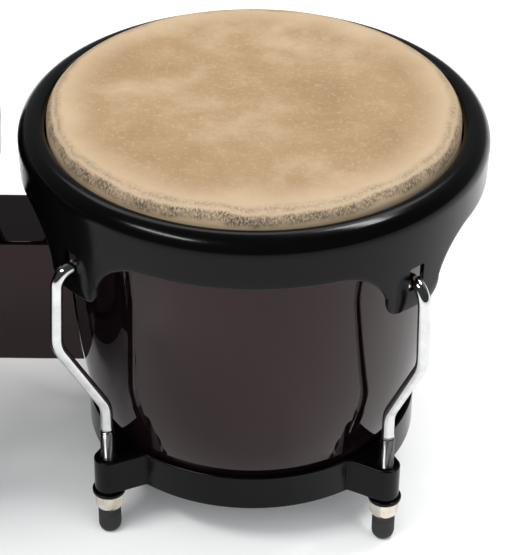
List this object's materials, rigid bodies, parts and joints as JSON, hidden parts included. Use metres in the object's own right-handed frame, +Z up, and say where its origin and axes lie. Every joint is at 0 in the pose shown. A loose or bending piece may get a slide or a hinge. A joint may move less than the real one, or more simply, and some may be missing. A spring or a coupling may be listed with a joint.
{
  "type": "bongo drums",
  "caption": "Pair of tapered wooden hand drums joined by a wooden block, with rawhide heads tensioned by hooked rods, nuts and pressed rims.",
  "frame": {"origin": "centre of the footprint, on the surface that the feet stand on", "axes": "+X from the large drum to the small drum, +Z up through the playing surfaces, +Y away from the player's view of the block's front"},
  "size_m": [0.4354, 0.2296, 0.1831],
  "materials": {
    "shell_wood": "dark wine-brown gloss lacquer over wood",
    "rawhide": "scraped rawhide, matte, mottled",
    "rim_enamel": "black powder coat, smooth semi-gloss",
    "hoop_enamel": "black powder coat, smooth semi-gloss",
    "rod_chrome": "bright chrome plate",
    "washer_black": "black enamel",
    "nut_nickel": "satin nickel plate",
    "foot_rubber": "matte moulded rubber",
    "block_wood": "black satin lacquer over wood",
    "hardware_steel": "zinc plated steel"
  },
  "bodies": {
    "drums_and_block": {"macho_shell": "shell_wood", "macho_head": "rawhide", "macho_flesh_hoop": "hardware_steel", "macho_bottom_hoop": "hoop_enamel", "macho_backing_plate": "hardware_steel", "macho_washer_1": "washer_black", "macho_washer_2": "washer_black", "macho_washer_3": "washer_black", "macho_washer_4": "washer_black", "hembra_shell": "shell_wood", "hembra_head": "rawhide", "hembra_flesh_hoop": "hardware_steel", "hembra_bottom_hoop": "hoop_enamel", "hembra_backing_plate": "hardware_steel", "hembra_washer_1": "washer_black", "hembra_washer_2": "washer_black", "hembra_washer_3": "washer_black", "hembra_washer_4": "washer_black", "center_block": "block_wood", "block_bolt_lower": "hardware_steel", "block_bolt_nut_lower": "hardware_steel", "block_bolt_upper": "hardware_steel", "block_bolt_nut_upper": "hardware_steel"},
    "macho_rim_and_rods": {"macho_rim": "rim_enamel", "macho_tuning_rod_1": "rod_chrome", "macho_tuning_rod_2": "rod_chrome", "macho_tuning_rod_3": "rod_chrome", "macho_tuning_rod_4": "rod_chrome"},
    "macho_nut_1_turning": {"macho_tuning_nut_1": "nut_nickel", "macho_foot_1": "foot_rubber"},
    "macho_nut_2_turning": {"macho_tuning_nut_2": "nut_nickel", "macho_foot_2": "foot_rubber"},
    "macho_nut_3_turning": {"macho_tuning_nut_3": "nut_nickel", "macho_foot_3": "foot_rubber"},
    "macho_nut_4_turning": {"macho_tuning_nut_4": "nut_nickel", "macho_foot_4": "foot_rubber"},
    "hembra_rim_and_rods": {"hembra_rim": "rim_enamel", "hembra_tuning_rod_1": "rod_chrome", "hembra_tuning_rod_2": "rod_chrome", "hembra_tuning_rod_3": "rod_chrome", "hembra_tuning_rod_4": "rod_chrome"},
    "hembra_nut_1_turning": {"hembra_tuning_nut_1": "nut_nickel", "hembra_foot_1": "foot_rubber"},
    "hembra_nut_2_turning": {"hembra_tuning_nut_2": "nut_nickel", "hembra_foot_2": "foot_rubber"},
    "hembra_nut_3_turning": {"hembra_tuning_nut_3": "nut_nickel", "hembra_foot_3": "foot_rubber"},
    "hembra_nut_4_turning": {"hembra_tuning_nut_4": "nut_nickel", "hembra_foot_4": "foot_rubber"}
  },
  "joints": [
    {"name": "macho_rim_lift", "type": "slide", "parent": "drums_and_block", "child": "macho_rim_and_rods", "axis": [0, 0, 1], "range_m": [0, 0.006]},
    {"name": "macho_nut_1_spin", "type": "hinge", "parent": "drums_and_block", "child": "macho_nut_1_turning", "pos_m": [0.18002, 0.05823, 0.0172], "axis": [0, 0, 1], "range_deg": [-1710, 0]},
    {"name": "macho_nut_2_spin", "type": "hinge", "parent": "drums_and_block", "child": "macho_nut_2_turning", "pos_m": [0.06042, 0.06137, 0.0172], "axis": [0, 0, 1], "range_deg": [-1710, 0]},
    {"name": "macho_nut_3_spin", "type": "hinge", "parent": "drums_and_block", "child": "macho_nut_3_turning", "pos_m": [0.05728, -0.05823, 0.0172], "axis": [0, 0, 1], "range_deg": [-1710, 0]},
    {"name": "macho_nut_4_spin", "type": "hinge", "parent": "drums_and_block", "child": "macho_nut_4_turning", "pos_m": [0.17688, -0.06137, 0.0172], "axis": [0, 0, 1], "range_deg": [-1710, 0]},
    {"name": "hembra_rim_lift", "type": "slide", "parent": "drums_and_block", "child": "hembra_rim_and_rods", "axis": [0, 0, 1], "range_m": [0, 0.006]},
    {"name": "hembra_nut_1_spin", "type": "hinge", "parent": "drums_and_block", "child": "hembra_nut_1_turning", "pos_m": [-0.03382, 0.07279, 0.0172], "axis": [0, 0, 1], "range_deg": [-1710, 0]},
    {"name": "hembra_nut_2_spin", "type": "hinge", "parent": "drums_and_block", "child": "hembra_nut_2_turning", "pos_m": [-0.17569, 0.06908, 0.0172], "axis": [0, 0, 1], "range_deg": [-1710, 0]},
    {"name": "hembra_nut_3_spin", "type": "hinge", "parent": "drums_and_block", "child": "hembra_nut_3_turning", "pos_m": [-0.17198, -0.07279, 0.0172], "axis": [0, 0, 1], "range_deg": [-1710, 0]},
    {"name": "hembra_nut_4_spin", "type": "hinge", "parent": "drums_and_block", "child": "hembra_nut_4_turning", "pos_m": [-0.03011, -0.06908, 0.0172], "axis": [0, 0, 1], "range_deg": [-1710, 0]}
  ],
  "couplings": [
    {"joint": "macho_nut_1_spin", "follows": "macho_rim_lift", "rad_per_m": -4947.4},
    {"joint": "macho_nut_2_spin", "follows": "macho_rim_lift", "rad_per_m": -4947.4},
    {"joint": "macho_nut_3_spin", "follows": "macho_rim_lift", "rad_per_m": -4947.4},
    {"joint": "macho_nut_4_spin", "follows": "macho_rim_lift", "rad_per_m": -4947.4},
    {"joint": "hembra_nut_1_spin", "follows": "hembra_rim_lift", "rad_per_m": -4947.4},
    {"joint": "hembra_nut_2_spin", "follows": "hembra_rim_lift", "rad_per_m": -4947.4},
    {"joint": "hembra_nut_3_spin", "follows": "hembra_rim_lift", "rad_per_m": -4947.4},
    {"joint": "hembra_nut_4_spin", "follows": "hembra_rim_lift", "rad_per_m": -4947.4}
  ]
}
